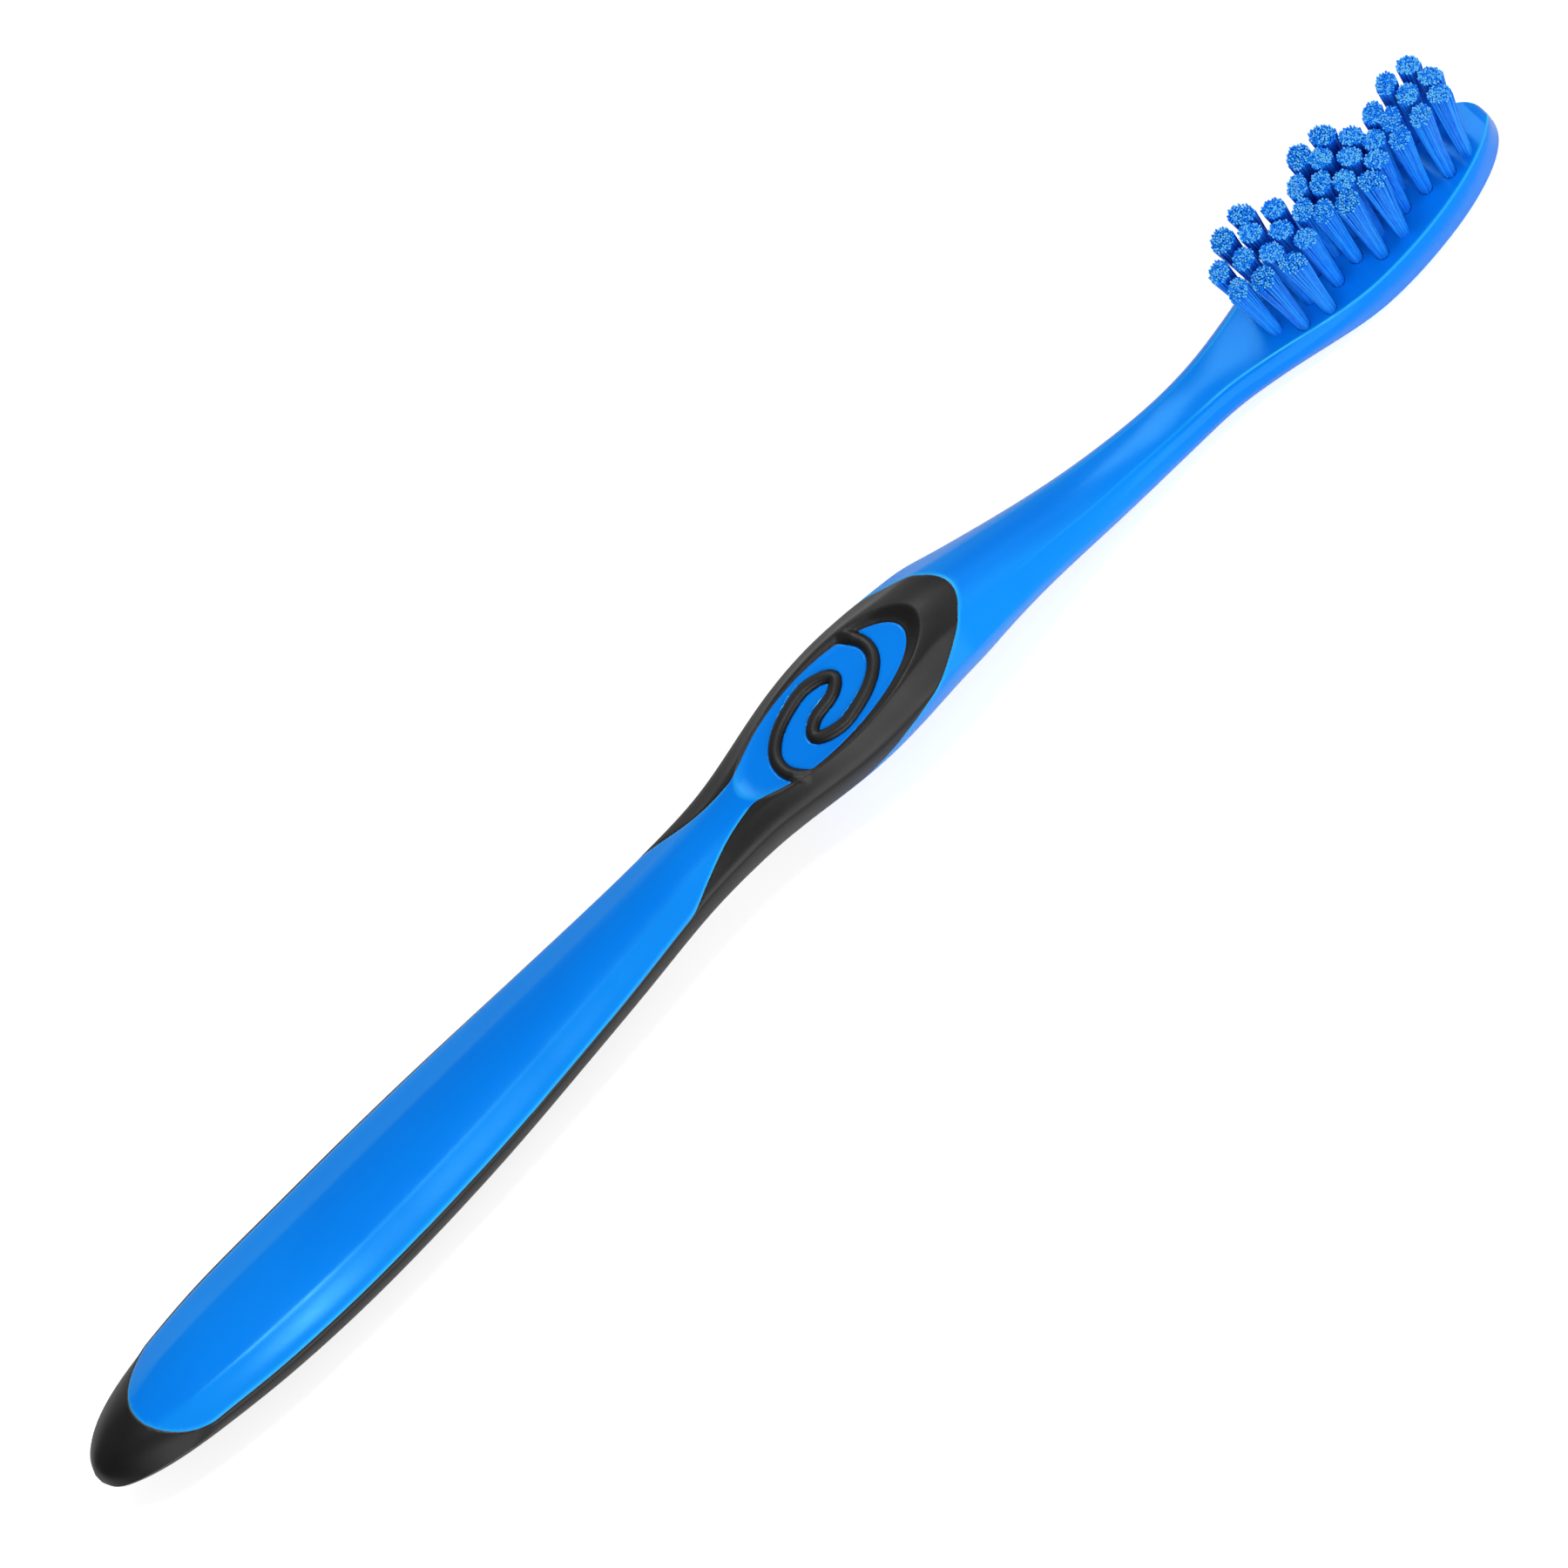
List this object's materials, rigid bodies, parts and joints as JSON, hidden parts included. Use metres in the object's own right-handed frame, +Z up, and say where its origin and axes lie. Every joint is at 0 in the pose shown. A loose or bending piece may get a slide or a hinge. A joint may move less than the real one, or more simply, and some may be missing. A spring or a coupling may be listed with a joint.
{
  "type": "manual toothbrush",
  "caption": "Manual toothbrush with a slim flared handle, rubber grip with a spiral thumb rest, oval head and wave-trimmed bristle tufts.",
  "frame": {"origin": "middle of the bottom of the brush's box, lying on its back; the back of the head and the handle's lowest place rest at Z = 0", "axes": "+X along the brush towards the head's tip, +Y across the brush, +Z up, the way the bristles point"},
  "size_m": [0.1898, 0.0144, 0.0164],
  "materials": {
    "core": "gloss",
    "grip": "satin",
    "bristles": "satin",
    "anchors": "satin"
  },
  "bodies": {
    "root": {"handle_core": "core", "grip_overmould": "grip", "tuft_anchors": "anchors", "tuft_left_01": "bristles", "tuft_right_01": "bristles", "tuft_left_02": "bristles", "tuft_right_02": "bristles", "tuft_left_03": "bristles", "tuft_right_03": "bristles", "tuft_left_04": "bristles", "tuft_right_04": "bristles", "tuft_left_05": "bristles", "tuft_right_05": "bristles", "tuft_left_06": "bristles", "tuft_right_06": "bristles", "tuft_left_07": "bristles", "tuft_right_07": "bristles", "tuft_left_08": "bristles", "tuft_right_08": "bristles", "tuft_left_09": "bristles", "tuft_right_09": "bristles", "tuft_left_10": "bristles", "tuft_right_10": "bristles", "tuft_left_11": "bristles", "tuft_right_11": "bristles", "tuft_left_12": "bristles", "tuft_right_12": "bristles", "tuft_left_13": "bristles", "tuft_right_13": "bristles", "tuft_centre_01": "bristles", "tuft_centre_02": "bristles", "tuft_centre_03": "bristles", "tuft_centre_04": "bristles", "tuft_centre_05": "bristles", "tuft_centre_06": "bristles", "tuft_centre_07": "bristles", "tuft_centre_08": "bristles", "tuft_centre_09": "bristles"}
  },
  "joints": []
}
